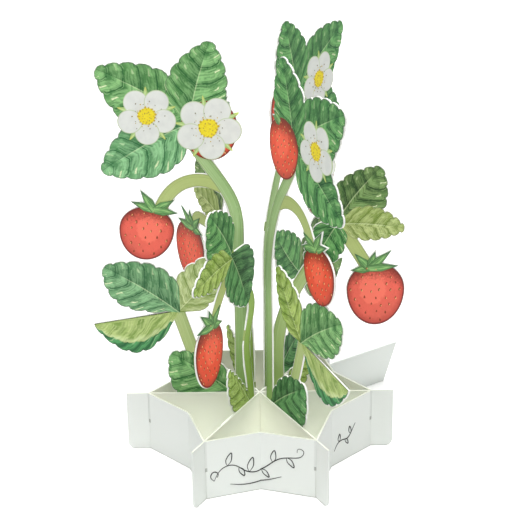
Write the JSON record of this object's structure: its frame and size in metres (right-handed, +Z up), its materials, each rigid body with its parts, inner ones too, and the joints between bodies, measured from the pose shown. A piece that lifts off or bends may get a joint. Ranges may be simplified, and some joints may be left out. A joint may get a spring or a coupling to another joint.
{
  "type": "pop-up greeting card",
  "caption": "Standing pop-up card: die-cut strawberry plants on crossed base plates inside a low folded star wall, with a leaning message panel.",
  "frame": {"origin": "on the table, on the upright axis where the three base plates cross", "axes": "+Z up, +X to the right and +Y to the back, seen from the front of the card"},
  "size_m": [0.1252, 0.1147, 0.1737],
  "materials": {
    "base_card": "matt white card, warm where it faces inward",
    "printed_card": "matt card printed in greens, red and white, with a white cut edge"
  },
  "bodies": {
    "root": {"star_wall": "base_card", "base_plate_cross": "base_card", "base_plate_left": "base_card", "base_plate_right": "base_card", "message_panel": "base_card", "plant_left": "printed_card", "plant_right": "printed_card", "plant_front_left": "printed_card", "plant_front_right": "printed_card", "plant_back_left": "printed_card", "plant_back_right": "printed_card"}
  },
  "joints": []
}
